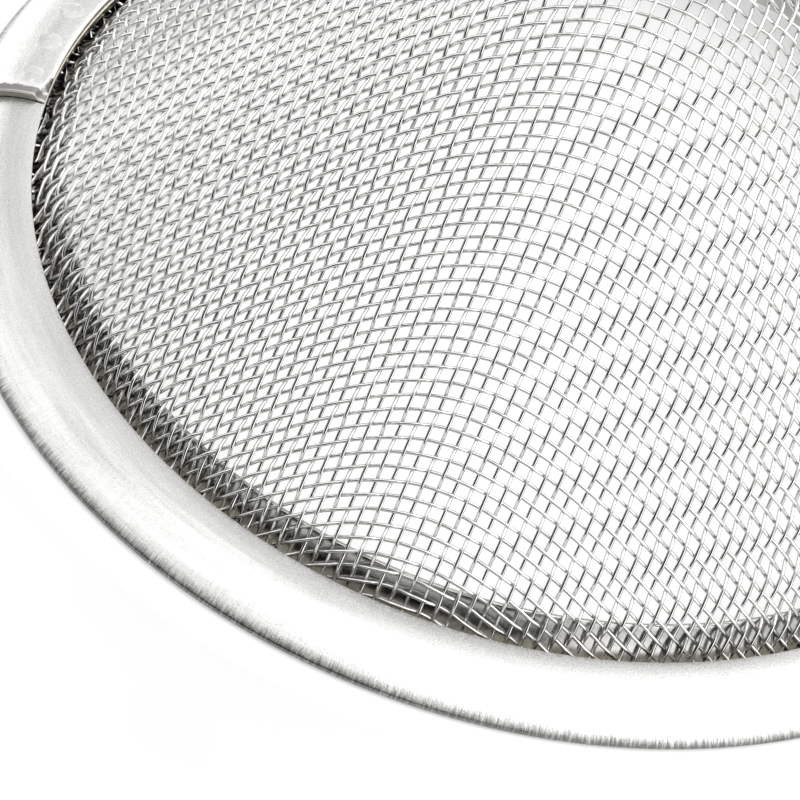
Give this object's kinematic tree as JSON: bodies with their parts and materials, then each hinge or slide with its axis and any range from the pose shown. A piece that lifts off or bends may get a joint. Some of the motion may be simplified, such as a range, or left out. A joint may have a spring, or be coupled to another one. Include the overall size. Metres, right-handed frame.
{
  "type": "soil sieve",
  "caption": "Hand sieve for potting soil: a rounded cone of woven stainless wire cloth in a wide folded rim, with a flat pressed handle and a hanging hole.",
  "frame": {"origin": "centre of the mouth, on the plane that the rim rests on when the sieve lies mouth down", "axes": "+Z from the mouth towards the tip of the wire dome, +X from the mouth along the handle"},
  "size_m": [0.1994, 0.0874, 0.0415],
  "materials": {
    "rim_steel": "satin stainless sheet, brushed across the rim's outer edge",
    "ring_steel": "mill-finish stainless sheet",
    "screen_wire": "bright drawn stainless wire",
    "weld_steel": "spot-welded stainless, slightly pitted",
    "handle_steel": "satin stainless sheet, brushed along its length"
  },
  "bodies": {
    "root": {"rim_strip": "rim_steel", "backing_ring": "ring_steel", "wire_screen": "screen_wire", "lap_spot_welds": "weld_steel", "handle": "handle_steel", "handle_spot_welds": "weld_steel"}
  },
  "joints": []
}
